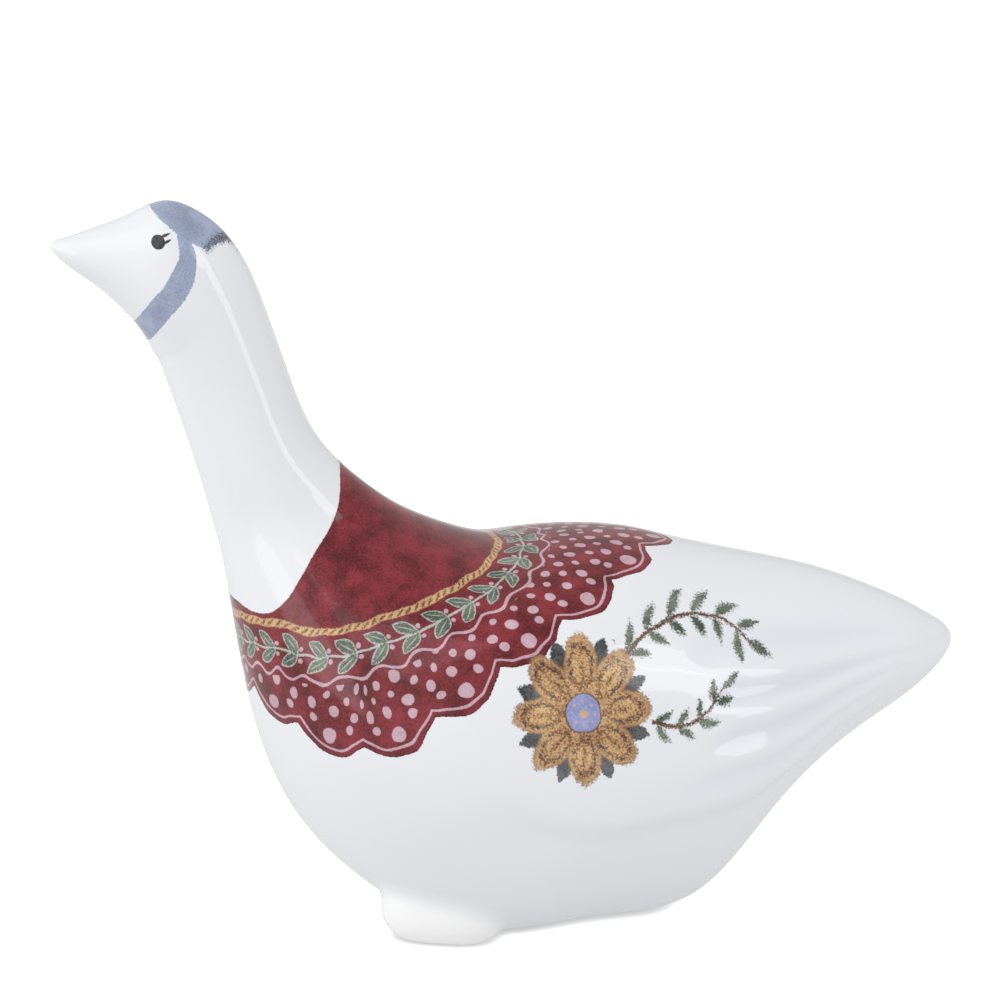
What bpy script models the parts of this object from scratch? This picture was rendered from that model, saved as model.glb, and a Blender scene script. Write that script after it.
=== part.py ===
"""A small goose figurine of glazed porcelain, slip-cast in one hollow piece.

The goose faces -X with +Z up, and is the same on both sides of the plane y = 0.
The origin is on the surface it stands on, under the middle of its length.
All sizes are in metres.

The body is a skin of rings strung from the beak's tip to the tail's tip. Each ring
runs from a point on the back line, down one side, to a point on the belly line and
up the other side. The feet swell out of that skin, the wing feathers are carved
into it, and the underside is ground flat where it stands.
"""

import math

import bpy
import numpy as np

# Overall sizes
LENGTH = 0.098  # beak tip to tail tip
HEIGHT = 0.0800  # floor to crown
BEAK_HEIGHT = 0.0755  # floor to the beak's tip
TAIL_HEIGHT = 0.0281  # floor to the tail's tip

# Head, from the beak's tip to the nape and from the crown to the throat
HEAD_LENGTH = 0.0231
HEAD_DEPTH = 0.0176
HEAD_WIDTH = 0.0134

# Neck
NECK_DEPTH = 0.0128  # fore and aft, at its slimmest
NECK_WIDTH = 0.0126

# Body, from the breast to the tail's tip
BODY_LENGTH = 0.079
BACK_HEIGHT = 0.0430
BODY_WIDTH = 0.046

# Slip-cast wall and the vent that lets the steam out in the kiln
WALL = 0.003
NARROWEST_HOLLOW = 0.0012  # half the width of a hollow: a slimmer one casts solid
VENT_DIAMETER = 0.003
VENT_FROM_BREAST = 0.040

# Feet
FOOT_FROM_BREAST = 0.0230  # ankle, behind the breast
FOOT_SPREAD = 0.0136  # between the two ankles
FOOT_LENGTH = 0.0090  # ankle to the end of the front toe
LEG_HEIGHT = 0.0105
LEG_WIDTH = 0.0090
INSTEP_WIDTH = 0.0066  # where the toes leave the ankle
TOE_WIDTH = 0.0072
SOLE_DEPTH = 0.0004  # how far the toes are ground flat underneath
TOES = ((28, 99), (61, 89), (103, 94))  # turn outwards, and hundredths of the length
WEB = 0.0024  # how softly the toes and the leg melt into one another

# Wing feathers, carved as flutes that close in on the tail
FLUTE_DEPTH = 0.0006
WING_GROOVE_DEPTH = 0.0008  # under the lower edge of the wing

# The ground foot that it stands on
GROUND_EDGE = 0.00015  # rounding at the edge of the flat

# How finely the surfaces are drawn
RINGS_TO_A_SECTION = 3
STEPS_TO_A_FLUTE = 4
OTHER_STEPS = (3, 2, 6)  # over half the back, into the groove, under half the belly
HOLLOW_GRID = (2, 24)  # rings to a section, and points to a ring
FOOT_GRID = (16, 40)  # rings, and points to a ring

# The head's rings, in hundredths of the head's length (from the beak's tip back),
# depth (down from the crown) and width. Each row: back, belly, width, widest.
HEAD_SECTIONS = (
    (9.0, 19.8, 8.1, 38.2, 30.0, 50),
    (21.9, 14.4, 19.4, 49.3, 51.0, 50),
    (36.6, 7.5, 29.9, 61.8, 71.0, 48),
    (52.3, 0.0, 37.9, 73.6, 90.0, 47),
    (67.8, 6.6, 42.1, 81.9, 99.0, 46),
    (80.4, 20.6, 44.7, 88.0, 100.0, 47),
    (90.3, 40.7, 46.9, 93.9, 97.0, 49),
    (97.9, 66.0, 49.5, 100.7, 94.0, 50),
)

# Where the neck's rings lie between head and shoulder, how far their middles bow
# forward, and their depth and width, in hundredths of the neck's
NECK_SECTIONS = (
    (32.0, 4.7, 98.0, 98.0),
    (70.0, 8.2, 105.0, 107.0),
)

# The body's rings, in hundredths of the body's length (from the breast back),
# back height and width. Each row: back, belly, width, widest.
BODY_SECTIONS = (
    (19.1, 111.1, -3.0, 105.5, 33.0, 50),
    (24.6, 104.4, -1.6, 94.9, 43.0, 48),
    (30.9, 99.4, -0.4, 81.6, 56.0, 47),
    (37.3, 96.5, 1.0, 65.6, 71.0, 47),
    (43.2, 97.4, 3.3, 47.1, 85.0, 48),
    (49.3, 98.0, 8.1, 27.6, 95.0, 48),
    (55.8, 96.9, 17.2, 9.8, 100.0, 48),
    (62.2, 94.0, 30.6, -3.0, 99.0, 48),
    (68.6, 91.1, 45.1, -1.8, 93.0, 49),
    (75.1, 88.4, 57.1, -0.6, 83.0, 52),
    (81.6, 85.3, 64.9, 7.0, 70.0, 54),
    (87.9, 81.0, 73.3, 25.5, 55.0, 54),
    (93.3, 76.5, 83.7, 42.2, 40.0, 53),
    (97.1, 72.5, 93.4, 53.2, 24.0, 51),
)

# The flutes between the feathers. Each row: the turns round a ring, in degrees from
# the back line, of the ridge above and the ridge below, the section where the flute
# begins, counted from the beak's tip, and its depth in hundredths of the deepest.
FLUTES = (
    (32, 54, 18.2, 80),
    (54, 68, 18.8, 100),
    (68, 83, 19.1, 80),
    (83, 96, 19.0, 40),
)
FLUTE_ONSET = 0.6  # sections over which a flute deepens from nothing
FLUTE_ENDS = (20.5, 23.8)  # sections over which they all run out at the tail
WING_EDGE = (96, 106, 150)  # turns of its lower edge, of the groove under it and of the belly
WING_SECTIONS = (16.6, 17.8)  # sections over which that edge comes up


def closed_spline(points):
    """A smooth closed curve through the points, one unit of its parameter apart."""
    points = np.asarray(points, float)
    count = len(points)
    before, after = np.roll(points, 1, axis=0), np.roll(points, -1, axis=0)
    link = np.eye(count)
    system = 4 * link + np.roll(link, 1, axis=1) + np.roll(link, -1, axis=1)
    bend = np.linalg.solve(system, 6 * (after - 2 * points + before))

    def at(place):
        place = np.mod(np.asarray(place, float), count)
        first = np.floor(place).astype(int) % count
        second = (first + 1) % count
        u = (place - np.floor(place))[..., None]
        v = 1 - u
        straight = points[first] * v + points[second] * u
        return straight + (bend[first] * (v**3 - v) + bend[second] * (u**3 - u)) / 6

    return at


def smooth_step(start, end, value):
    """0 before start, 1 after end, with no corner at either."""
    share = np.clip((value - start) / (end - start), 0, 1)
    return share * share * (3 - 2 * share)


def head_sections():
    """Back point, belly point, width and widest share of each of the head's rings."""
    front = -LENGTH / 2
    for back_x, back_z, belly_x, belly_z, width, widest in HEAD_SECTIONS:
        yield (
            (front + back_x * HEAD_LENGTH / 100, HEIGHT - back_z * HEAD_DEPTH / 100),
            (front + belly_x * HEAD_LENGTH / 100, HEIGHT - belly_z * HEAD_DEPTH / 100),
            width * HEAD_WIDTH / 100,
            widest / 100,
        )


def body_sections():
    """The same for the body's rings."""
    breast = LENGTH / 2 - BODY_LENGTH
    for back_x, back_z, belly_x, belly_z, width, widest in BODY_SECTIONS:
        yield (
            (breast + back_x * BODY_LENGTH / 100, back_z * BACK_HEIGHT / 100),
            (breast + belly_x * BODY_LENGTH / 100, belly_z * BACK_HEIGHT / 100),
            width * BODY_WIDTH / 100,
            widest / 100,
        )


def neck_sections(head, shoulder):
    """The same for the neck's rings, between the head's last ring and the body's first."""
    ends = np.array([head[:2], shoulder[:2]])
    middles = ends.mean(axis=1)
    facings = ends[:, 0] - ends[:, 1]
    facings /= np.linalg.norm(facings, axis=1)[:, None]
    for place, bow, depth, width in NECK_SECTIONS:
        share = place / 100
        middle = middles[0] * (1 - share) + middles[1] * share
        facing = facings[0] * (1 - share) + facings[1] * share
        reach = facing / np.linalg.norm(facing) * NECK_DEPTH / 100
        back = middle + reach * (depth / 2 - bow)
        belly = middle - reach * (depth / 2 + bow)
        yield tuple(back), tuple(belly), width * NECK_WIDTH / 100, 0.5


def all_sections():
    """Every ring's section from the beak back to the tail."""
    head, body = list(head_sections()), list(body_sections())
    return head + list(neck_sections(head[-1], body[0])) + body


class Skin:
    """The goose's outer surface, before feet, feathers and the ground foot."""

    def __init__(self):
        sections = all_sections()
        self.last = len(sections) + 1  # the tail's tip, as the beak's is 0
        backs, bellies, widths, widest = zip(*sections)
        beak = [(-LENGTH / 2, BEAK_HEIGHT)]
        tail = [(LENGTH / 2, TAIL_HEIGHT)]
        self.outline = closed_spline(beak + list(backs) + tail + list(bellies[::-1]))
        half = np.array(widths) / 2
        self.half_width = closed_spline(
            np.concatenate([[0], half, [0], -half[::-1]])[:, None]
        )
        widest = np.array(widest)
        self.widest = closed_spline(
            np.concatenate([widest[:1], widest, widest[-1:], widest[::-1]])[:, None]
        )

    def at(self, section, turn):
        """Points of the skin, for arrays of sections and of turns from the back line."""
        back, belly = self.outline(section), self.outline(-section)
        side = self.half_width(section)[..., 0]
        share = self.widest(section)[..., 0]
        middle = belly + (back - belly) * share[..., None]
        rise = np.cos(turn)[..., None]
        reach = np.where(rise > 0, back - middle, middle - belly)
        along = middle + reach * rise
        return np.stack([along[..., 0], side * np.sin(turn), along[..., 1]], axis=-1)

    def slimmest(self, section):
        """Half of the smaller width of the ring at each section."""
        depth = np.linalg.norm(self.outline(section) - self.outline(-section), axis=-1)
        return np.minimum(depth / 2, self.half_width(section)[..., 0])


def grid_normals(points):
    """Outward unit normals of a grid of points, [ring, place round it]."""
    along = np.gradient(points, axis=0)
    around = (np.roll(points, -1, axis=1) - np.roll(points, 1, axis=1)) / 2
    normals = np.cross(along, around)
    return normals / np.linalg.norm(normals, axis=-1)[..., None]


def carving(section, turn):
    """How deep the feathers are cut at each section and turn."""
    side = np.degrees(np.abs(np.angle(np.exp(1j * turn))))
    edge, groove, belly = WING_EDGE
    depth = WING_GROOVE_DEPTH * smooth_step(edge, groove, side) * (1 - smooth_step(groove, belly, side))
    depth *= smooth_step(*WING_SECTIONS, section)
    for upper, lower, start, share in FLUTES:
        across = np.clip((side - upper) / (lower - upper), 0, 1)
        valley = (1 - np.cos(2 * math.pi * across)) / 2
        grown = smooth_step(start, start + FLUTE_ONSET, section)
        depth += FLUTE_DEPTH * share / 100 * valley * grown
    return depth * (1 - smooth_step(*FLUTE_ENDS, section))


def capsule(points, start, end, start_radius, end_radius):
    """Distance from the points to a tapered rod with round ends."""
    line = end - start
    share = np.clip((points - start) @ line / (line @ line), 0, 1)
    nearest = start + share[..., None] * line
    radius = start_radius + (end_radius - start_radius) * share
    return np.linalg.norm(points - nearest, axis=-1) - radius


def melt(first, second, softness):
    """The union of two distances, with a fillet of this softness between them."""
    overlap = np.clip(softness - np.abs(first - second), 0, None) / softness
    return np.minimum(first, second) - overlap**2 * softness / 4


def ankle(side):
    """The middle of a foot's ankle."""
    breast = LENGTH / 2 - BODY_LENGTH
    height = INSTEP_WIDTH / 2 - SOLE_DEPTH
    return np.array([breast + FOOT_FROM_BREAST, side * FOOT_SPREAD / 2, height])


def foot_distance(points, side):
    """Distance from the points to one foot: three toes and a leg, melted together."""
    start = ankle(side)
    top = start * (1, 1, 0) + (0, 0, LEG_HEIGHT - LEG_WIDTH / 2)
    distance = capsule(points, start, top, INSTEP_WIDTH / 2, LEG_WIDTH / 2)
    for turn, share in TOES:
        angle = math.radians(turn)
        reach = share * FOOT_LENGTH / 100 - TOE_WIDTH / 2
        end = start + np.array([-math.cos(angle), side * math.sin(angle), 0]) * reach
        end[2] = TOE_WIDTH / 2 - SOLE_DEPTH
        toe = capsule(points, start, end, INSTEP_WIDTH / 2, TOE_WIDTH / 2)
        distance = melt(distance, toe, WEB)
    return distance


def foot(side):
    """One foot as a closed mesh, drawn outwards from its ankle."""
    rings, across = FOOT_GRID
    around = np.arange(across) * 2 * math.pi / across
    down = np.arange(1, rings) * math.pi / rings
    down, around = np.meshgrid(down, around, indexing="ij")
    heading = np.stack(
        [np.sin(down) * np.cos(around), np.sin(down) * np.sin(around), np.cos(down)],
        axis=-1,
    )
    start = ankle(side)
    near, far = np.zeros(down.shape), np.full(down.shape, 2 * FOOT_LENGTH)
    for _ in range(30):
        middle = (near + far) / 2
        inside = foot_distance(start + heading * middle[..., None], side) < 0
        near, far = np.where(inside, middle, near), np.where(inside, far, middle)
    points = ground(start + heading * near[..., None])
    name = "left_foot" if side < 0 else "right_foot"
    top, bottom = start * (1, 1, 0) + (0, 0, LEG_HEIGHT), start * (1, 1, 0)
    made = tube_mesh(name, points[:, ::-1], top, bottom)
    hide_cutter(made)
    return made


def ground(points, level=0.0):
    """Cuts the points off flat at the level, with a small round at the edge."""
    flat = points.copy()
    above = points[..., 2] - level
    rounded = (above + GROUND_EDGE) ** 2 / (4 * GROUND_EDGE)
    height = np.where(above > GROUND_EDGE, above, np.where(above < -GROUND_EDGE, 0, rounded))
    flat[..., 2] = level + height
    return flat


def tube_mesh(name, rings, first_tip, last_tip):
    """A closed mesh over a grid of rings, with a tip beyond the first and the last."""
    count, around = rings.shape[:2]
    points = [first_tip, *rings.reshape(-1, 3), last_tip]
    faces = []
    for place in range(around):
        beside = (place + 1) % around
        faces.append((0, 1 + place, 1 + beside))
        for ring in range(count - 1):
            here, there = 1 + ring * around, 1 + (ring + 1) * around
            faces.append((here + place, there + place, there + beside, here + beside))
        end = 1 + (count - 1) * around
        faces.append((end + beside, end + place, len(points) - 1))
    mesh = bpy.data.meshes.new(name)
    mesh.from_pydata([tuple(point) for point in points], [], faces)
    mesh.validate()
    mesh.shade_smooth()
    made = bpy.data.objects.new(name, mesh)
    bpy.context.scene.collection.objects.link(made)
    return made


def ring_turns():
    """Turns at which a ring has its points: on every ridge and between them."""
    first, last = FLUTES[0][0], FLUTES[-1][1]
    on_back, in_groove, on_belly = OTHER_STEPS
    spans = [(0, first, on_back)]
    spans += [(upper, lower, STEPS_TO_A_FLUTE) for upper, lower, _, _ in FLUTES]
    spans += [(last, WING_EDGE[1], in_groove), (WING_EDGE[1], 180, on_belly)]
    side = np.concatenate([np.linspace(start, end, steps + 1)[:-1] for start, end, steps in spans])
    return np.radians(np.concatenate([side, [180], 360 - side[:0:-1]]))


def outer_body(skin):
    """The goose's body as a solid: skin, feathers and the flat it stands on."""
    places = np.arange(1, RINGS_TO_A_SECTION * skin.last) / RINGS_TO_A_SECTION
    section, turn = np.meshgrid(places, ring_turns(), indexing="ij")
    points = skin.at(section, turn)
    points = points - grid_normals(points) * carving(section, turn)[..., None]
    points = ground(points)
    beak = (-LENGTH / 2, 0, BEAK_HEIGHT)
    tail = (LENGTH / 2, 0, TAIL_HEIGHT)
    return tube_mesh("goose_figurine", points, beak, tail)


def hollow(skin):
    """What the slip left empty: the skin's shape, one wall further in."""
    rings, across = HOLLOW_GRID
    places = np.arange(1, rings * skin.last) / rings
    turns = np.arange(across) * 2 * math.pi / across
    section, turn = np.meshgrid(places, turns, indexing="ij")
    points = ground(skin.at(section, turn))
    points = points - grid_normals(points) * WALL
    room = skin.slimmest(places) - WALL > NARROWEST_HOLLOW
    widest = int(np.argmax(skin.slimmest(places)))
    first = widest - int(np.argmin(room[widest::-1])) + 1
    last = widest + int(np.argmin(room[widest:]))
    kept = points[first:last]
    made = tube_mesh("hollow", kept, kept[0].mean(axis=0), kept[-1].mean(axis=0))
    hide_cutter(made)
    return made


def vent(skin):
    """The round hole through the ground foot into the hollow."""
    place = LENGTH / 2 - BODY_LENGTH + VENT_FROM_BREAST
    bpy.ops.mesh.primitive_cylinder_add(
        vertices=24,
        radius=VENT_DIAMETER / 2,
        depth=4 * WALL,
        location=(place, 0, 0),
    )
    made = bpy.context.object
    made.name = "vent"
    hide_cutter(made)
    return made


def hide_cutter(cutter):
    cutter.hide_render = True
    cutter.display_type = "WIRE"


def combine(body, other, operation):
    """Joins the other shape to the body, or takes it out."""
    modifier = body.modifiers.new(other.name, "BOOLEAN")
    modifier.operation = operation
    modifier.solver = "EXACT"
    modifier.object = other


def glazed_porcelain():
    """White hard-paste porcelain under a clear glaze."""
    material = bpy.data.materials.new("glazed_porcelain")
    material.use_nodes = True
    shader = material.node_tree.nodes["Principled BSDF"]
    shader.inputs["Base Color"].default_value = (0.83, 0.84, 0.87, 1)
    shader.inputs["Roughness"].default_value = 0.08
    shader.inputs["Metallic"].default_value = 0
    return material


def build():
    for old in list(bpy.data.objects):
        bpy.data.objects.remove(old)
    skin = Skin()
    body = outer_body(skin)
    body.data.materials.append(glazed_porcelain())
    for side in (-1, 1):
        combine(body, foot(side), "UNION")
    combine(body, hollow(skin), "DIFFERENCE")
    combine(body, vent(skin), "DIFFERENCE")


build()
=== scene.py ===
import math

import bpy
import numpy as np
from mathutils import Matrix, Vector


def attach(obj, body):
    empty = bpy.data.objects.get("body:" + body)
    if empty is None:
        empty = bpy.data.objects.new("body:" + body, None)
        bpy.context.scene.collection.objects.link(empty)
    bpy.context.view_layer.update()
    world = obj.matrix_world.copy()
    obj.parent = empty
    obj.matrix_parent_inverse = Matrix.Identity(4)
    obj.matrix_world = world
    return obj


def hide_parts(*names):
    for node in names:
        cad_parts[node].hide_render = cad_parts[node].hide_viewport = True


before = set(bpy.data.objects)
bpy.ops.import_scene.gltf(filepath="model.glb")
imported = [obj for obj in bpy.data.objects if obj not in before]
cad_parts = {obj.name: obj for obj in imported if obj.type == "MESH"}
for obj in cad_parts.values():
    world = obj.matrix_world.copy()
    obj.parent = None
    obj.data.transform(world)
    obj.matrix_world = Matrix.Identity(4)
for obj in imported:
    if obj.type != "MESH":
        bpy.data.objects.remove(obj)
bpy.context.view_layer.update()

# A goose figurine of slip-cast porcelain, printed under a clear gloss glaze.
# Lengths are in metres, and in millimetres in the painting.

MM = 0.001

# Camera, found from the photograph: its place, what it looks at and its lens
EYE = (-0.081708, -0.573915, 0.201255)
TARGET = (-0.00105, 0.0, 0.045964)
LENS = 199.67
SENSOR = 36.0

# The form, as in the part's source
LENGTH, HEIGHT = 0.098, 0.0800
BEAK_HEIGHT, TAIL_HEIGHT = 0.0755, 0.0281
HEAD_LENGTH, HEAD_DEPTH, HEAD_WIDTH = 0.0231, 0.0176, 0.0134
NECK_DEPTH, NECK_WIDTH = 0.0128, 0.0126
BODY_LENGTH, BACK_HEIGHT, BODY_WIDTH = 0.079, 0.0430, 0.046
VENT_DIAMETER, VENT_FROM_BREAST, VENT_DEPTH = 0.003, 0.040, 0.004
FOOT_FROM_BREAST, FOOT_SPREAD, FOOT_LENGTH = 0.0230, 0.0136, 0.0090
LEG_HEIGHT, LEG_WIDTH, INSTEP_WIDTH, TOE_WIDTH = 0.0105, 0.0090, 0.0066, 0.0072
SOLE_DEPTH, WEB = 0.0004, 0.0024
TOES = ((28, 99), (61, 89), (103, 94))
FLUTE_DEPTH, WING_GROOVE_DEPTH, GROUND_EDGE = 0.0006, 0.0008, 0.00015

HEAD_SECTIONS = (
    (9.0, 19.8, 8.1, 38.2, 30.0, 50),
    (21.9, 14.4, 19.4, 49.3, 51.0, 50),
    (36.6, 7.5, 29.9, 61.8, 71.0, 48),
    (52.3, 0.0, 37.9, 73.6, 90.0, 47),
    (67.8, 6.6, 42.1, 81.9, 99.0, 46),
    (80.4, 20.6, 44.7, 88.0, 100.0, 47),
    (90.3, 40.7, 46.9, 93.9, 97.0, 49),
    (97.9, 66.0, 49.5, 100.7, 94.0, 50),
)
NECK_SECTIONS = (
    (32.0, 4.7, 98.0, 98.0),
    (70.0, 8.2, 105.0, 107.0),
)
BODY_SECTIONS = (
    (19.1, 111.1, -3.0, 105.5, 33.0, 50),
    (24.6, 104.4, -1.6, 94.9, 43.0, 48),
    (30.9, 99.4, -0.4, 81.6, 56.0, 47),
    (37.3, 96.5, 1.0, 65.6, 71.0, 47),
    (43.2, 97.4, 3.3, 47.1, 85.0, 48),
    (49.3, 98.0, 8.1, 27.6, 95.0, 48),
    (55.8, 96.9, 17.2, 9.8, 100.0, 48),
    (62.2, 94.0, 30.6, -3.0, 99.0, 48),
    (68.6, 91.1, 45.1, -1.8, 93.0, 49),
    (75.1, 88.4, 57.1, -0.6, 83.0, 52),
    (81.6, 85.3, 64.9, 7.0, 70.0, 54),
    (87.9, 81.0, 73.3, 25.5, 55.0, 54),
    (93.3, 76.5, 83.7, 42.2, 40.0, 53),
    (97.1, 72.5, 93.4, 53.2, 24.0, 51),
)
FLUTES = (
    (32, 54, 18.2, 80),
    (54, 68, 18.8, 100),
    (68, 83, 19.1, 80),
    (83, 96, 19.0, 40),
)
FLUTE_ONSET, FLUTE_ENDS = 0.6, (20.5, 23.8)
WING_EDGE, WING_SECTIONS = (96, 106, 150), (16.6, 17.8)

# How finely it is drawn: the number of rings up to each section, and of steps round
# each side up to each turn. The feet need the most.
RING_SPANS = ((9.0, 63), (11.0, 36), (16.2, 47), (19.0, 62), (25.0, 54))
TURN_SPANS = ((97, 84), (140, 31), (180, 64))

# Feet that swell softly out of the belly
HEART_HEIGHT = 0.0070  # where the swelling is drawn out from
ANKLE_FILLET = 0.0018
FARTHEST_SWELL, NEAR_FOOT = 1.6, 2.08  # in lengths of the foot
LEAST_LEANING = 0.25  # of a point's normal to the way that it is drawn
SWELL_STEPS = 65
PAINTED_HIGHLIGHT_SWELL = (0.0, 0.0014)  # how far out the foot swells before it is fully painted whiter, a painted highlight for the light the feet catch

# Edges of the painting. Each row: a turn in degrees from the back line, and the
# section that the edge crosses there.
HEM = (
    (0, 17.4), (30, 16.5), (60, 15.75), (90, 15.5),
    (115, 15.3), (135, 14.7), (155, 14.2), (180, 14.05),
)
GARLAND = (
    (0, 14.4), (30, 14.3), (60, 14.1), (90, 13.9),
    (115, 13.75), (135, 13.5), (155, 13.42), (180, 13.4),
)
NECKLINE = (
    (0, 10.35), (30, 10.5), (60, 10.95), (88, 11.65), (106, 12.22),
    (120, 12.63), (133, 12.86), (148, 12.86), (160, 12.75), (180, 12.7),
)
STRAP = (
    (30, 4.5), (48, 4.66), (59, 4.97), (72, 5.1),
    (89, 5.07), (113, 4.76), (144, 4.5), (180, 4.42),
)
# Stems on the flank, as x and z in millimetres
UPPER_SPRIG = ((9.6, 33.4), (13.0, 35.4), (17.0, 36.2), (20.8, 35.4), (23.8, 33.2))
LOWER_SPRIG = ((12.2, 26.6), (15.0, 26.0), (18.2, 26.8), (20.6, 29.2))

# Sizes of the painting in millimetres
SCALLOPS = 9  # from the back line to the breast
SCALLOP_DEPTH = 1.9
GARLAND_LEAVES = 15
ROSETTE = (4.8, 28.2)
ROSETTE_PETALS = 8
CAP = ((-25.0, 92.6), 18.7)
NAPE = ((-31.2, 73.8), 2.25)  # cuts an arch out of the cap's back
CAP_FOOT = 74.8
EYE_SPOT = ((-38.0, 76.7), 0.72)
FINEST_EDGE = 0.04
BLUR = 0.7  # of how far an edge is torn
FAR = 1000.0

# Ceramic colours as they fire, darker and lighter, and the feet's painted highlight
CRIMSON = ("#561014", "#8C2C37")
CRIMSON_RIM = ("#4A0D12", "#6C1A22")
PALE_PINK = ("#B794A0", "#CDAEB9")
LEAF_GREEN = ("#3E4A3C", "#7C8474")
LEAF_EDGE = ("#9AA39A", "#C3C4C1")
OCHRE = ("#B58A5E", "#D9B483")
SIENNA = ("#6A4436", "#96704F")
CHARCOAL = ("#343437", "#6C6C70")
PERIWINKLE = ("#7F86B8", "#A3A9D0")
TWIG_BROWN = ("#4C3727", "#7A5E49")
BLUE_GREY = ("#8892AA", "#A3ADC6")
SLATE = ("#3B3E48", "#6E7484")
EYE_BLACK = ("#2B2A2B", "#403E40")
GLAZE_WHITE = "#E5E7EB"
GLAZE_POOL = "#DDE1E8"
# Painted highlight: the feet are painted whiter for the light that falls on them
FOOT_PAINTED_HIGHLIGHT = "#F4F4F4"
BARE_BODY = "#E9E6E0"

# What the print and the glaze vary by, in millimetres
PRINT_GRAIN, PRINT_CLOUD = 0.22, 2.6
WAVER, WAVER_LENGTH = 0.6, 2.0
GLAZE_WAVE = 9.0

# The room's light before the head and behind the tail, and the same as it is mirrored
ROOM_LIGHT, ROOM_MIRRORED = (0.98, 0.71), (1.0, 0.55)
# The floor's own glow as it is seen, hard by the goose and in the open, and as it lights
SEEN_GLOW, LIGHTING_GLOW = (0.35, 0.85), 0.46
FLOOR_GREY, FLOOR_HALF = 0.35, 3.0
CREVICE = 0.0008  # how near the goose the floor's glow fades, in metres
LIGHTS = (
    ("overhead_softbox", (-0.30, -0.20, 0.55), (0.5, 0.5), 0.65),
    ("left_softbox", (-0.85, -0.20, 0.12), (0.8, 0.8), 1.2),
    ("right_strip", (0.54, -0.45, 0.30), (0.14, 0.80), 2.2),
    ("right_softbox", (0.47, -0.55, 0.52), (0.10, 0.26), 2.2),
)


def closed_spline(points):
    """A smooth closed curve through the points, one unit of its parameter apart."""
    points = np.asarray(points, float)
    count = len(points)
    before, after = np.roll(points, 1, axis=0), np.roll(points, -1, axis=0)
    link = np.eye(count)
    system = 4 * link + np.roll(link, 1, axis=1) + np.roll(link, -1, axis=1)
    bend = np.linalg.solve(system, 6 * (after - 2 * points + before))

    def at(place):
        place = np.mod(np.asarray(place, float), count)
        first = np.floor(place).astype(int) % count
        second = (first + 1) % count
        u = (place - np.floor(place))[..., None]
        v = 1 - u
        straight = points[first] * v + points[second] * u
        return straight + (bend[first] * (v**3 - v) + bend[second] * (u**3 - u)) / 6

    return at


def flowing(rows, places):
    """A smooth open curve through rows of place and value, read at the places."""
    along, value = np.array(rows, float).T
    slope = np.gradient(value, along)
    first = np.clip(np.searchsorted(along, places) - 1, 0, len(along) - 2)
    span = along[first + 1] - along[first]
    u = (places - along[first]) / span
    return (
        (2 * u**3 - 3 * u**2 + 1) * value[first]
        + (u**3 - 2 * u**2 + u) * span * slope[first]
        + (3 * u**2 - 2 * u**3) * value[first + 1]
        + (u**3 - u**2) * span * slope[first + 1]
    )


def smooth_step(start, end, value):
    """0 before start, 1 after end, with no corner at either."""
    share = np.clip((value - start) / (end - start), 0, 1)
    return share * share * (3 - 2 * share)


def scaled_sections(rows, front, length, base, height, width):
    """Back point, belly point, width and widest share of each ring in a table."""
    for back_x, back_z, belly_x, belly_z, wide, widest in rows:
        yield (
            (front + back_x * length / 100, base + back_z * height / 100),
            (front + belly_x * length / 100, base + belly_z * height / 100),
            wide * width / 100,
            widest / 100,
        )


def neck_sections(head, shoulder):
    """The same for the neck's rings, between the head's last ring and the body's first."""
    ends = np.array([head[:2], shoulder[:2]])
    middles = ends.mean(axis=1)
    facings = ends[:, 0] - ends[:, 1]
    facings /= np.linalg.norm(facings, axis=1)[:, None]
    for place, bow, depth, width in NECK_SECTIONS:
        share = place / 100
        middle = middles[0] * (1 - share) + middles[1] * share
        facing = facings[0] * (1 - share) + facings[1] * share
        reach = facing / np.linalg.norm(facing) * NECK_DEPTH / 100
        back = middle + reach * (depth / 2 - bow)
        belly = middle - reach * (depth / 2 + bow)
        yield tuple(back), tuple(belly), width * NECK_WIDTH / 100, 0.5


class Skin:
    """The goose's outer surface, before feet, feathers and the ground foot."""

    def __init__(self):
        front = -LENGTH / 2
        breast = LENGTH / 2 - BODY_LENGTH
        head = list(
            scaled_sections(HEAD_SECTIONS, front, HEAD_LENGTH, HEIGHT, -HEAD_DEPTH, HEAD_WIDTH)
        )
        body = list(
            scaled_sections(BODY_SECTIONS, breast, BODY_LENGTH, 0, BACK_HEIGHT, BODY_WIDTH)
        )
        sections = head + list(neck_sections(head[-1], body[0])) + body
        self.last = len(sections) + 1
        backs, bellies, widths, widest = zip(*sections)
        beak = [(-LENGTH / 2, BEAK_HEIGHT)]
        tail = [(LENGTH / 2, TAIL_HEIGHT)]
        self.outline = closed_spline(beak + list(backs) + tail + list(bellies[::-1]))
        half = np.array(widths) / 2
        self.half_width = closed_spline(np.concatenate([[0], half, [0], -half[::-1]])[:, None])
        widest = np.array(widest)
        self.widest = closed_spline(
            np.concatenate([widest[:1], widest, widest[-1:], widest[::-1]])[:, None]
        )

    def at(self, section, turn):
        """Points of the skin, for arrays of sections and of turns from the back line."""
        back, belly = self.outline(section), self.outline(-section)
        side = self.half_width(section)[..., 0]
        share = self.widest(section)[..., 0]
        middle = belly + (back - belly) * share[..., None]
        rise = np.cos(turn)[..., None]
        reach = np.where(rise > 0, back - middle, middle - belly)
        along = middle + reach * rise
        return np.stack([along[..., 0], side * np.sin(turn), along[..., 1]], axis=-1)


def grid_normals(points):
    """Outward unit normals of a grid of points, [ring, place round it]."""
    along = np.gradient(points, axis=0)
    around = (np.roll(points, -1, axis=1) - np.roll(points, 1, axis=1)) / 2
    normals = np.cross(along, around)
    return normals / np.linalg.norm(normals, axis=-1)[..., None]


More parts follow.
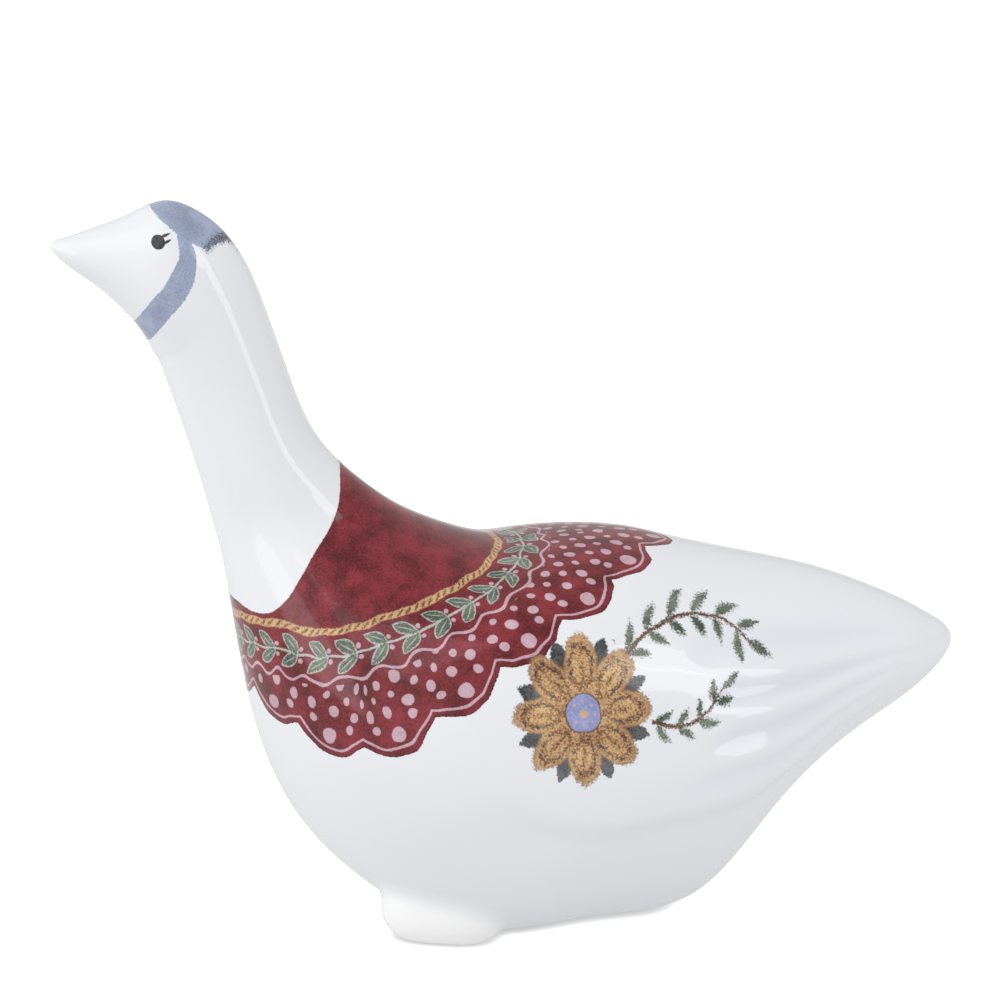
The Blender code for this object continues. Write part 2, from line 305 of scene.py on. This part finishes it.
def carving(section, turn):
    """How deep the feathers are cut at each section and turn, and the flutes' share."""
    side = np.degrees(np.abs(np.angle(np.exp(1j * turn))))
    flutes = np.zeros_like(side)
    for upper, lower, start, share in FLUTES:
        across = np.clip((side - upper) / (lower - upper), 0, 1)
        valley = (1 - np.cos(2 * math.pi * across)) / 2
        grown = smooth_step(start, start + FLUTE_ONSET, section)
        flutes += share / 100 * valley * grown
    kept = 1 - smooth_step(*FLUTE_ENDS, section)
    edge, groove, belly = WING_EDGE
    under_edge = smooth_step(edge, groove, side) * (1 - smooth_step(groove, belly, side))
    groove_depth = WING_GROOVE_DEPTH * under_edge * smooth_step(*WING_SECTIONS, section)
    return (groove_depth + FLUTE_DEPTH * flutes) * kept, flutes * kept


def capsule(points, start, end, start_radius, end_radius):
    """Distance from the points to a tapered rod with round ends."""
    line = end - start
    share = np.clip((points - start) @ line / (line @ line), 0, 1)
    nearest = start + share[..., None] * line
    radius = start_radius + (end_radius - start_radius) * share
    return np.linalg.norm(points - nearest, axis=-1) - radius


def melt(first, second, softness):
    """The union of two distances, with a fillet of this softness between them."""
    overlap = np.clip(softness - np.abs(first - second), 0, None) / softness
    return np.minimum(first, second) - overlap**2 * softness / 4


def ankle(side):
    """The middle of a foot's ankle."""
    breast = LENGTH / 2 - BODY_LENGTH
    height = INSTEP_WIDTH / 2 - SOLE_DEPTH
    return np.array([breast + FOOT_FROM_BREAST, side * FOOT_SPREAD / 2, height])


def foot_distance(points, side):
    """Distance from the points to one foot: three toes and a leg, melted together."""
    start = ankle(side)
    top = start * (1, 1, 0) + (0, 0, LEG_HEIGHT - LEG_WIDTH / 2)
    distance = capsule(points, start, top, INSTEP_WIDTH / 2, LEG_WIDTH / 2)
    for turn, share in TOES:
        angle = math.radians(turn)
        reach = share * FOOT_LENGTH / 100 - TOE_WIDTH / 2
        end = start + np.array([-math.cos(angle), side * math.sin(angle), 0]) * reach
        end[2] = TOE_WIDTH / 2 - SOLE_DEPTH
        toe = capsule(points, start, end, INSTEP_WIDTH / 2, TOE_WIDTH / 2)
        distance = melt(distance, toe, WEB)
    return distance


def swell_foot(points, normals, swelling, side):
    """Draws the points near one foot outwards from inside its leg, onto the foot."""
    farthest = FARTHEST_SWELL * FOOT_LENGTH
    heart = ankle(side) * (1, 1, 0) + (0, 0, HEART_HEIGHT)
    away = points - heart
    reach = np.linalg.norm(away, axis=-1)
    near = (points[..., 1] * side > 0) & (reach < NEAR_FOOT * FOOT_LENGTH)
    start, reach = points[near], reach[near]
    heading = away[near] / reach[:, None]
    leaning = np.clip((normals[near] * heading).sum(-1), LEAST_LEANING, 1)
    moved = np.zeros_like(reach)
    steps = np.linspace(0, farthest, SWELL_STEPS)
    before = melt(0 * leaning, foot_distance(start, side), ANKLE_FILLET)
    for previous, step in zip(steps[:-1], steps[1:]):
        there = start + heading * step
        now = melt(step * leaning, foot_distance(there, side), ANKLE_FILLET)
        crossing = previous + (step - previous) * -before / np.clip(now - before, 1e-9, None)
        moved = np.where((before < 0) & (now >= 0), crossing, moved)
        before = now
    points[near] = start + heading * moved[:, None]
    swelling[near] = moved * leaning


def ground(points):
    """Cuts the points off flat at the floor, with a small round at the edge."""
    above = points[..., 2]
    rounded = (above + GROUND_EDGE) ** 2 / (4 * GROUND_EDGE)
    points[..., 2] = np.where(
        above > GROUND_EDGE, above, np.where(above < -GROUND_EDGE, 0, rounded)
    )


def spread(spans):
    """Places from 0 on, at each span's own spacing: its end, and the steps up to there."""
    places, start = [], 0.0
    for end, steps in spans:
        places.append(np.linspace(start, end, steps, endpoint=False))
        start = end
    return np.concatenate(places)


def follow(points, spine):
    """How far along a spine each point lies, its offset from it, and the tangents."""
    lengths = np.linalg.norm(np.diff(spine, axis=0), axis=1)
    run = np.concatenate([[0], np.cumsum(lengths)])
    tangents = np.gradient(spine, axis=0)
    tangents /= np.linalg.norm(tangents, axis=1)[:, None]
    pieces = np.array_split(points, 200)
    nearest = np.concatenate(
        [((piece[:, None] - spine) ** 2).sum(-1).argmin(1) for piece in pieces]
    )
    offset = points - spine[nearest]
    along = (offset * tangents[nearest]).sum(-1)
    offset -= along[:, None] * tangents[nearest]
    return run[nearest] + along, offset, tangents[nearest]


def ring_paper(skin, points, section, turn, rows):
    """Paper laid along an edge round the body: how far along it, and behind it."""
    turns = np.linspace(rows[0][0], 180, 400)
    spine = skin.at(flowing(rows, turns), -np.radians(turns)) / MM
    along, offset, _ = follow(points, spine)
    edge = flowing(rows, np.clip(turn, rows[0][0], 180))
    across = np.linalg.norm(offset, axis=1) * np.where(section > edge, 1, -1)
    return np.stack([along, across, np.zeros_like(along)], axis=1)


def stem_paper(points, stem):
    """Paper laid along a stem on the flank: how far along it, and above it."""
    knots = np.arange(len(stem))
    places = np.linspace(0, len(stem) - 1, 200)
    spine = np.stack(
        [flowing(list(zip(knots, values)), places) for values in zip(*stem)], axis=1
    )
    along, offset, tangents = follow(points[:, [0, 2]], spine)
    across = tangents[:, 0] * offset[:, 1] - tangents[:, 1] * offset[:, 0]
    return np.stack([along, across, np.zeros_like(along)], axis=1)


def shape_goose():
    """The goose as one closed mesh, with the papers that its painting is drawn on."""
    skin = Skin()
    places = spread(RING_SPANS)[1:]
    side = spread(TURN_SPANS)
    turns = np.radians(np.concatenate([side, [180], 360 - side[:0:-1]]))
    section, turn = np.meshgrid(places, turns, indexing="ij")
    points = skin.at(section, turn)
    normals = grid_normals(points)
    depth, pool = carving(section, turn)
    points = points - normals * depth[..., None]
    swelling = np.zeros_like(depth)
    for flank in (-1, 1):
        swell_foot(points, normals, swelling, flank)
    ground(points)

    around = len(turns)
    rings = len(places)
    index = 1 + np.arange(rings * around).reshape(rings, around)
    beside = np.roll(index, -1, axis=1)
    quads = np.stack([index[:-1], index[1:], beside[1:], beside[:-1]], axis=-1).reshape(-1, 4)
    last = 1 + rings * around
    front = [(0, here, there) for here, there in zip(index[0], beside[0])]
    behind = [(there, here, last) for here, there in zip(index[-1], beside[-1])]
    tips = [(-LENGTH / 2, 0, BEAK_HEIGHT), (LENGTH / 2, 0, TAIL_HEIGHT)]
    every = np.concatenate([tips[:1], points.reshape(-1, 3), tips[1:]])
    mesh = bpy.data.meshes.new("painted_goose")
    mesh.from_pydata(every.tolist(), [], front + quads.tolist() + behind)
    mesh.shade_smooth()

    # Both flanks are painted alike, so the papers are laid on the near one
    flat_section = np.concatenate([[0], section.ravel(), [skin.last]])
    flat_turn = np.degrees(np.abs(np.angle(np.exp(1j * turn)))).ravel()
    flat_turn = np.concatenate([[90], flat_turn, [90]])
    mirrored = every / MM
    mirrored[:, 1] = -np.abs(mirrored[:, 1])
    papers = {
        name: ring_paper(skin, mirrored, flat_section, flat_turn, rows)
        for name, rows in (
            ("hem", HEM), ("garland", GARLAND), ("neckline", NECKLINE), ("strap", STRAP)
        )
    }
    papers["upper_sprig"] = stem_paper(mirrored, UPPER_SPRIG)
    papers["lower_sprig"] = stem_paper(mirrored, LOWER_SPRIG)
    for name, values in papers.items():
        layer = mesh.attributes.new(name, "FLOAT_VECTOR", "POINT")
        layer.data.foreach_set("vector", values.astype(np.float32).ravel())
    # The feet are painted whiter as they swell out of the belly, a painted highlight for the
    # light they catch
    painted_foot_light = smooth_step(*PAINTED_HIGHLIGHT_SWELL, swelling)
    for name, values in (("pool", pool), ("painted_foot_light", painted_foot_light)):
        layer = mesh.attributes.new(name, "FLOAT", "POINT")
        values = np.concatenate([[0], values.ravel(), [0]])
        layer.data.foreach_set("value", values.astype(np.float32))

    goose = bpy.data.objects.new("painted_goose", mesh)
    bpy.context.scene.collection.objects.link(goose)
    lengths = {name: papers[name][:, 0].max() for name in ("hem", "garland")}
    return goose, lengths


def drill_vent(goose):
    """The firing vent in the middle of the belly."""
    middle = LENGTH / 2 - BODY_LENGTH + VENT_FROM_BREAST
    bpy.ops.mesh.primitive_cylinder_add(
        vertices=48, radius=VENT_DIAMETER / 2, depth=2 * VENT_DEPTH, location=(middle, 0, 0)
    )
    drill = bpy.context.object
    cut = goose.modifiers.new("vent", "BOOLEAN")
    cut.operation, cut.solver, cut.object = "DIFFERENCE", "EXACT", drill
    bpy.context.view_layer.objects.active = goose
    bpy.ops.object.modifier_apply(modifier="vent")
    bpy.data.objects.remove(drill)


def hex_colour(code):
    """An sRGB hex value as linear red, green, blue and alpha."""
    shares = [int(code[place:place + 2], 16) / 255 for place in (1, 3, 5)]
    return [
        share / 12.92 if share <= 0.04045 else ((share + 0.055) / 1.055) ** 2.4
        for share in shares
    ] + [1]


def add(tree, kind, feeds=(), output=0, **settings):
    """Adds a node with its settings, feeds its inputs and gives one of its outputs."""
    node = tree.nodes.new("ShaderNode" + kind)
    for name, value in settings.items():
        setattr(node, name, value)
    for place, feed in feeds.items() if isinstance(feeds, dict) else enumerate(feeds):
        if isinstance(feed, bpy.types.NodeSocket):
            tree.links.new(feed, node.inputs[place])
        else:
            node.inputs[place].default_value = feed
    return node.outputs[output] if node.outputs else node


def disc(tree, paper, place, radius):
    """Distance to a round spot on the paper."""
    reach = add(tree, "VectorMath", [paper, (*place, 0)], output=1, operation="DISTANCE")
    return add(tree, "Math", [reach, radius], operation="SUBTRACT")


def leaf(tree, paper, place, turn, half_length, half_width):
    """Distance to a pointed leaf on the paper, turned by degrees."""
    radius = (half_length**2 + half_width**2) / (2 * half_width)
    facing = (0, 0, math.radians(turn))
    local = add(tree, "Mapping", [paper, (*place, 0), facing], vector_type="TEXTURE")
    folded = add(tree, "VectorMath", [local], operation="ABSOLUTE")
    centre = (0, half_width - radius, 0)
    reach = add(tree, "VectorMath", [folded, centre], output=1, operation="DISTANCE")
    return add(tree, "Math", [reach, radius], operation="SUBTRACT")


def petal(tree, paper, place, half_length, half_width):
    """Distance to a round-ended petal that lies along the paper."""
    local = add(
        tree, "Mapping", [paper, (*place, 0), (0, 0, 0), (half_length, half_width, 1)],
        vector_type="TEXTURE",
    )
    reach = add(tree, "VectorMath", [local], output=1, operation="LENGTH")
    return add(tree, "Math", [reach, half_width, -half_width], operation="MULTIPLY_ADD")


def band(tree, value, middle, width):
    """Distance to a band of this width about the middle value."""
    offset = add(tree, "Math", [value, middle], operation="SUBTRACT")
    size = add(tree, "Math", [offset], operation="ABSOLUTE")
    return add(tree, "Math", [size, width / 2], operation="SUBTRACT")


def gather(tree, operation, *distances):
    """The MINIMUM of distances joins their shapes, and the MAXIMUM keeps what they share."""
    whole = distances[0]
    for distance in distances[1:]:
        whole = add(tree, "Math", [whole, distance], operation=operation)
    return whole


def repeat(tree, paper, period, shift=0.0):
    """The paper folded so that what is drawn at the shift comes once a period."""
    highest = (shift + period / 2, FAR, 1)
    lowest = (shift - period / 2, -FAR, -1)
    return add(tree, "VectorMath", [paper, highest, lowest], operation="WRAP")


def fold_round(tree, paper, count, shift=0.0):
    """The paper turned about its middle so that equal sectors lie over one another."""
    across = add(tree, "SeparateXYZ", [paper], output=0)
    up = add(tree, "SeparateXYZ", [paper], output=1)
    angle = add(tree, "Math", [up, across], operation="ARCTAN2")
    half = math.pi / count
    local = add(tree, "Math", [angle, shift + half, shift - half], operation="WRAP")
    back = add(tree, "Math", [local, angle], operation="SUBTRACT")
    return add(
        tree, "VectorRotate", {"Vector": paper, "Angle": back}, rotation_type="Z_AXIS"
    )


def hand_drawn(tree, paper, wobble):
    """The paper with the small unevenness of a drawn line."""
    return add(tree, "VectorMath", [paper, wobble], operation="ADD")


def cape_layers(tree, lengths, wobble):
    """A crimson cape with a scalloped, piped hem, rows of dots and a leafy garland."""
    hem, garland, neckline = [
        add(tree, "Attribute", output="Vector", attribute_name=name)
        for name in ("hem", "garland", "neckline")
    ]
    hem, garland = hand_drawn(tree, hem, wobble), hand_drawn(tree, garland, wobble)
    along = add(tree, "SeparateXYZ", [hem], output=0)
    behind = add(tree, "SeparateXYZ", [hem], output=1)
    below_neck = add(tree, "SeparateXYZ", [neckline], output=1)
    period = lengths["hem"] / SCALLOPS
    swing = add(tree, "Math", [along, math.pi / period], operation="MULTIPLY")
    wave = add(tree, "Math", [swing], operation="COSINE")
    lobes = add(tree, "Math", [wave], operation="ABSOLUTE")
    edge = add(tree, "Math", [lobes, -SCALLOP_DEPTH, behind], operation="MULTIPLY_ADD")
    above_neck = add(tree, "Math", [below_neck, -1.0], operation="MULTIPLY")
    cape = gather(tree, "MAXIMUM", edge, above_neck)

    beyond_garland = add(tree, "SeparateXYZ", [garland], output=1)
    dotted = add(tree, "Math", [3.0, beyond_garland], operation="SUBTRACT")
    spots = []
    for row, shift, share, radius in (
        (-0.35, 0, 1, 0.86), (-1.55, 0.29, 1, 0.50), (-1.55, -0.29, 1, 0.50),
        (-3.05, 0, 3, 0.62), (-4.60, 1 / 6, 3, 0.44), (-6.05, 0, 3, 0.60),
        (-7.55, 1 / 6, 3, 0.42), (-9.05, 0, 3, 0.56), (-10.5, 1 / 6, 3, 0.40),
    ):
        paper = repeat(tree, hem, period / share, shift * period)
        spots.append(disc(tree, paper, (shift * period, row), radius))
    dots = gather(tree, "MAXIMUM", gather(tree, "MINIMUM", *spots), cape, dotted)

    run = add(tree, "SeparateXYZ", [garland], output=0)
    swing = add(tree, "Math", [run, 2 * math.pi / 3.9], operation="MULTIPLY")
    wave = add(tree, "Math", [swing], operation="SINE")
    drift = add(tree, "Math", [wave, 0.38, beyond_garland], operation="MULTIPLY_ADD")
    braid = gather(tree, "MAXIMUM", band(tree, drift, 2.5, 0.34), cape)
    piping = gather(tree, "MAXIMUM", band(tree, edge, -0.85, 0.30), cape)
    rim = gather(tree, "MAXIMUM", band(tree, edge, 0.0, 0.30), cape)

    cord = gather(tree, "MAXIMUM", band(tree, beyond_garland, -2.7, 0.80), cape)
    twist = leaf(tree, repeat(tree, garland, 1.05), (0, -2.7), 32, 0.62, 0.15)
    twist = gather(tree, "MAXIMUM", twist, cord)

    pace = lengths["garland"] / GARLAND_LEAVES
    paired = add(tree, "VectorMath", [repeat(tree, garland, pace)], operation="ABSOLUTE")
    pair = add(tree, "SeparateXYZ", [paired], output=1)
    cell = add(tree, "SeparateXYZ", [repeat(tree, garland, pace)], output=0)
    sprig = add(tree, "CombineXYZ", [cell, pair])
    leaves = leaf(tree, sprig, (0.1, 0.85), 36, 1.30, 0.58)
    ribs = leaf(tree, sprig, (0.1, 0.85), 36, 0.95, 0.06)
    stem = band(tree, beyond_garland, 0.0, 0.26)
    berries = disc(tree, sprig, (-1.35, 0.62), 0.27)
    halo = add(tree, "Math", [leaves, 0.14], operation="SUBTRACT")
    inside = gather(tree, "MAXIMUM", edge, above_neck)
    return [
        (cape, 0.05, CRIMSON),
        (rim, 0.05, CRIMSON_RIM),
        (piping, 0.05, PALE_PINK),
        (dots, 0.05, PALE_PINK),
        (braid, 0.05, PALE_PINK),
        (cord, 0.10, OCHRE),
        (twist, 0.10, SIENNA),
        (gather(tree, "MAXIMUM", stem, inside), 0.06, LEAF_EDGE),
        (gather(tree, "MAXIMUM", halo, inside), 0.05, LEAF_EDGE),
        (gather(tree, "MAXIMUM", leaves, inside), 0.10, LEAF_GREEN),
        (gather(tree, "MAXIMUM", ribs, inside), 0.05, LEAF_EDGE),
        (gather(tree, "MAXIMUM", berries, inside), 0.05, PALE_PINK),
    ]


def rosette_layers(tree, side, wobble):
    """An eight-petalled rosette, stitched and stippled, on each flank."""
    side = hand_drawn(tree, side, wobble)
    paper = add(tree, "VectorMath", [side, (*ROSETTE, 0)], operation="SUBTRACT")
    half = math.pi / ROSETTE_PETALS
    petals = fold_round(tree, paper, ROSETTE_PETALS)
    between = fold_round(tree, paper, ROSETTE_PETALS, half)
    turned = add(
        tree, "VectorRotate", {"Vector": between, "Angle": -half}, rotation_type="Z_AXIS"
    )
    sepals = leaf(tree, turned, (5.5, 0), 0, 2.1, 0.95)
    shape = petal(tree, petals, (4.55, 0), 2.85, 1.72)
    folded = add(tree, "VectorMath", [petals], operation="ABSOLUTE")
    stitches = gather(
        tree, "MINIMUM",
        leaf(tree, folded, (6.35, 0.62), -58, 0.36, 0.12),
        leaf(tree, folded, (5.05, 1.12), -8, 0.36, 0.12),
        leaf(tree, folded, (3.85, 1.05), 14, 0.36, 0.12),
    )
    vein = leaf(tree, petals, (4.0, 0), 0, 1.5, 0.20)
    grown = add(tree, "Math", [shape, 0.12], operation="SUBTRACT")
    inner = add(tree, "Math", [shape, 0.55], operation="ADD")
    reach = add(tree, "VectorMath", [paper], output=1, operation="LENGTH")
    return [
        (sepals, 0.12, CHARCOAL),
        (grown, 0.16, SIENNA),
        (shape, 0.20, OCHRE),
        (gather(tree, "MAXIMUM", band(tree, inner, 0.0, 0.45), shape), 0.40, SIENNA),
        (vein, 0.35, SIENNA),
        (stitches, 0.06, CHARCOAL),
        (disc(tree, paper, (0, 0), 2.15), 0.10, SIENNA),
        (disc(tree, paper, (0, 0), 1.95), 0.06, PERIWINKLE),
        (disc(tree, fold_round(tree, paper, 8), (1.25, 0), 0.20), 0.04, PALE_PINK),
        (add(tree, "Math", [reach, 0.42], operation="SUBTRACT"), 0.05, OCHRE),
    ]


def sprig_layers(tree, name, length, pace, half_length, half_width, wobble):
    """A curling twig with paired leaves and a leaf at its end."""
    paper = add(tree, "Attribute", output="Vector", attribute_name=name)
    paper = hand_drawn(tree, paper, wobble)
    along = add(tree, "SeparateXYZ", [paper], output=0)
    above = add(tree, "SeparateXYZ", [paper], output=1)
    size = add(tree, "Math", [above], operation="ABSOLUTE")
    cell = add(tree, "SeparateXYZ", [repeat(tree, paper, pace, pace / 2)], output=0)
    paired = add(tree, "CombineXYZ", [cell, size])
    span = band(tree, along, length / 2, length)
    leaves = leaf(
        tree, paired, (pace * 0.55, half_length * 0.72), 42, half_length, half_width
    )
    leaves = gather(tree, "MAXIMUM", leaves, span)
    tip = leaf(tree, paper, (length + half_length * 0.8, 0), 0, half_length, half_width)
    taper = add(
        tree, "MapRange", [along, 0.0, length, 0.24, 0.09], clamp=True
    )
    stem = add(tree, "Math", [size, taper], operation="SUBTRACT")
    stem = gather(tree, "MAXIMUM", stem, span)
    leaves = gather(tree, "MINIMUM", leaves, tip)
    return [(leaves, 0.22, LEAF_GREEN), (stem, 0.12, TWIG_BROWN)]


def head_layers(tree, side):
    """A blue-grey cap, shaded at its back, with a strap under the chin, and an eye with
    two lashes."""
    strap = add(tree, "Attribute", output="Vector", attribute_name="strap")
    along = add(tree, "SeparateXYZ", [strap], output=0)
    across = add(tree, "SeparateXYZ", [strap], output=1)
    size = add(tree, "Math", [across], operation="ABSOLUTE")
    half_width = add(tree, "MapRange", [along, 2.0, 7.0, 0.55, 1.30], clamp=True)
    ribbon = add(tree, "Math", [size, half_width], operation="SUBTRACT")
    before = add(tree, "Math", [along, -1.0], operation="MULTIPLY")
    ribbon = gather(tree, "MAXIMUM", ribbon, before)
    nape = disc(tree, side, *NAPE)
    outside = add(tree, "Math", [nape, -1.0], operation="MULTIPLY")
    height = add(tree, "SeparateXYZ", [side], output=1)
    below = add(tree, "Math", [CAP_FOOT, height], operation="SUBTRACT")
    cap = gather(tree, "MAXIMUM", disc(tree, side, *CAP), outside, below)
    shaded = gather(tree, "MAXIMUM", band(tree, nape, 0.3, 0.8), cap)
    eye = gather(
        tree, "MINIMUM",
        disc(tree, side, *EYE_SPOT),
        leaf(tree, side, (-37.25, 77.35), 20, 0.62, 0.15),
        leaf(tree, side, (-37.15, 76.72), 24, 0.62, 0.15),
    )
    return [
        (gather(tree, "MINIMUM", cap, ribbon), 0.07, BLUE_GREY),
        (shaded, 0.35, SLATE),
        (eye, 0.02, EYE_BLACK),
    ]


def glazed_porcelain(lengths):
    """White hard-paste porcelain with an underglaze print: the clear glaze gives it
    hard, bright reflections, and lies bluish where it has pooled."""
    material = bpy.data.materials.new("glazed_porcelain_printed")
    material.use_nodes = True
    tree = material.node_tree
    shader = tree.nodes["Principled BSDF"]
    place = add(tree, "TexCoord", output="Object")
    place = add(tree, "VectorMath", {0: place, "Scale": 1 / MM}, operation="SCALE")
    across = add(tree, "SeparateXYZ", [place], output=0)
    up = add(tree, "SeparateXYZ", [place], output=2)
    side = add(tree, "CombineXYZ", [across, up])

    # The print is screened at about 0.15 mm, drawn here at 0.22 mm so that it shows, and
    # its colour lies in clouds about 2.6 mm wide
    grain = add(tree, "TexNoise", {"Vector": place, "Scale": 1 / PRINT_GRAIN, "Detail": 1.0})
    wash = add(
        tree, "TexNoise", {"Vector": place, "Scale": 1 / PRINT_CLOUD, "Detail": 3.0}
    )
    grain = add(tree, "MapRange", [grain, 0.25, 0.75, -1.0, 1.0], clamp=False)
    tone = add(tree, "Math", [grain, 0.16, wash], operation="MULTIPLY_ADD")
    tone = add(tree, "MapRange", [tone, 0.30, 0.70, 0.0, 1.0], clamp=True)

    # The hand wavers by about 0.1 mm along a drawn line
    wobble = add(
        tree, "TexNoise", {"Vector": place, "Scale": 1 / WAVER_LENGTH, "Detail": 0.0},
        output="Color",
    )
    wobble = add(tree, "VectorMath", [wobble, (0.5, 0.5, 0.5)], operation="SUBTRACT")
    wobble = add(tree, "VectorMath", {0: wobble, "Scale": WAVER}, operation="SCALE")

    # The glaze is bluish where it pooled in the flutes, and the feet are painted whiter, a
    # painted highlight for the light they catch
    surface = hex_colour(GLAZE_WHITE)
    for name, tint in (("pool", GLAZE_POOL), ("painted_foot_light", FOOT_PAINTED_HIGHLIGHT)):
        share = add(tree, "Attribute", output="Fac", attribute_name=name)
        surface = add(
            tree, "Mix", {0: share, 6: surface, 7: hex_colour(tint)}, output=2, data_type="RGBA"
        )
    layers = cape_layers(tree, lengths, wobble)
    layers += sprig_layers(tree, "upper_sprig", 16.2, 2.7, 1.35, 0.46, wobble)
    layers += sprig_layers(tree, "lower_sprig", 9.6, 2.4, 1.15, 0.42, wobble)
    layers += rosette_layers(tree, side, wobble)
    layers += head_layers(tree, side)
    # Each layer: its distance, how far its edge is torn and blurred, and its two tones
    printed = 0.0
    for distance, ragged, (darker, lighter) in layers:
        torn = add(tree, "Math", [grain, ragged, distance], operation="MULTIPLY_ADD")
        blur = max(FINEST_EDGE, BLUR * ragged)
        cover = add(tree, "MapRange", [torn, blur, -blur, 0.0, 1.0], clamp=True)
        colour = add(
            tree, "Mix", {0: tone, 6: hex_colour(darker), 7: hex_colour(lighter)},
            output=2, data_type="RGBA",
        )
        surface = add(
            tree, "Mix", {0: cover, 6: surface, 7: colour}, output=2, data_type="RGBA"
        )
        printed = add(tree, "Math", [cover, printed], operation="MAXIMUM")

    # The ground foot is wiped free of glaze, so it stays matt
    bare = add(tree, "MapRange", [up, 0.10, 0.04, 0.0, 1.0], clamp=True)
    surface = add(
        tree, "Mix", {0: bare, 6: surface, 7: hex_colour(BARE_BODY)},
        output=2, data_type="RGBA",
    )
    gloss = add(tree, "MapRange", [printed, 0.0, 1.0, 0.055, 0.10], clamp=True)
    rough = add(tree, "Math", [bare, 0.5, gloss], operation="MULTIPLY_ADD")
    # A glaze runs a little uneven, in waves about 9 mm long
    waves = add(tree, "TexNoise", {"Vector": place, "Scale": 1 / GLAZE_WAVE, "Detail": 1.0})
    height = add(tree, "Math", [waves, 0.6, printed], operation="MULTIPLY_ADD")
    bump = add(tree, "Bump", {"Strength": 0.25, "Distance": 0.00004, "Height": height})
    tree.links.new(surface, shader.inputs["Base Color"])
    tree.links.new(rough, shader.inputs["Roughness"])
    tree.links.new(bump, shader.inputs["Normal"])
    shader.inputs["IOR"].default_value = 1.5
    return material


def make_camera():
    """The camera that the photograph was taken with."""
    data = bpy.data.cameras.new("camera")
    data.sensor_fit = "HORIZONTAL"
    data.sensor_width = SENSOR
    data.lens = LENS
    data.clip_start = 0.01
    data.clip_end = 20
    camera = bpy.data.objects.new("camera", data)
    camera.location = EYE
    camera.rotation_euler = (Vector(TARGET) - Vector(EYE)).to_track_quat("-Z", "Y").to_euler()
    bpy.context.scene.collection.objects.link(camera)
    bpy.context.scene.camera = camera


def rays(tree, *names):
    """1 for the kinds of ray that are named, and 0 for others."""
    return gather(tree, "MAXIMUM", *[add(tree, "LightPath", output=name) for name in names])


def light_room():
    """A white room, darker to the goose's tail, and plain white where it is seen."""
    world = bpy.data.worlds.new("white_room")
    bpy.context.scene.world = world
    world.use_nodes = True
    tree = world.node_tree
    tree.nodes.clear()
    heading = add(tree, "SeparateXYZ", [add(tree, "TexCoord")], output=0)
    lighting = add(tree, "MapRange", [heading, -1.0, 1.0, *ROOM_LIGHT])
    mirrored = add(tree, "MapRange", [heading, -0.7, 0.1, *ROOM_MIRRORED])
    sent_on = rays(tree, "Is Glossy Ray", "Is Transmission Ray")
    level = add(tree, "Mix", {0: sent_on, 2: lighting, 3: mirrored})
    level = add(tree, "Mix", {0: rays(tree, "Is Camera Ray"), 2: level, 3: 1.0})
    shader = add(tree, "Background", {"Color": (1, 1, 1, 1), "Strength": level})
    add(tree, "OutputWorld", [shader])


def lay_floor():
    """A white floor: its own white where it is seen, with the goose's shadow on it."""
    mesh = bpy.data.meshes.new("floor")
    near, far = -FLOOR_HALF, FLOOR_HALF
    corners = [(near, near, 0), (far, near, 0), (far, far, 0), (near, far, 0)]
    mesh.from_pydata(corners, [], [(0, 1, 2, 3)])
    floor = bpy.data.objects.new("floor", mesh)
    bpy.context.scene.collection.objects.link(floor)
    material = bpy.data.materials.new("white_paper_sweep")
    material.use_nodes = True
    tree = material.node_tree
    tree.nodes.clear()
    # The glow fades where the goose all but touches the floor, as light can't get in there
    open_share = add(tree, "AmbientOcclusion", {"Distance": CREVICE}, output="AO")
    reached = add(tree, "MapRange", [open_share, 0.0, 1.0, *SEEN_GLOW])
    level = add(tree, "Mix", {0: rays(tree, "Is Camera Ray"), 2: LIGHTING_GLOW, 3: reached})
    shade = add(tree, "BsdfDiffuse", {"Color": (*[FLOOR_GREY] * 3, 1)})
    glow = add(tree, "Emission", {"Color": (1, 1, 1, 1), "Strength": level})
    add(tree, "OutputMaterial", [add(tree, "AddShader", [shade, glow])])
    mesh.materials.append(material)


def hang_light(name, place, size, radiance, target=(0, 0, 0.04)):
    """A soft rectangular light of this radiance, facing the target."""
    data = bpy.data.lights.new(name, "AREA")
    data.shape = "RECTANGLE"
    data.size, data.size_y = size
    data.energy = radiance * math.pi * size[0] * size[1]
    light = bpy.data.objects.new(name, data)
    light.location = place
    light.rotation_euler = (Vector(target) - Vector(place)).to_track_quat("-Z", "Y").to_euler()
    bpy.context.scene.collection.objects.link(light)


def main():
    bpy.context.scene.view_settings.view_transform = "Standard"
    make_camera()
    light_room()
    lay_floor()
    for name, place, size, radiance in LIGHTS:
        hang_light(name, place, size, radiance)

    goose, lengths = shape_goose()
    goose.data.materials.append(glazed_porcelain(lengths))
    drill_vent(goose)
    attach(goose, "root")
    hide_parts("goose_figurine")


main()
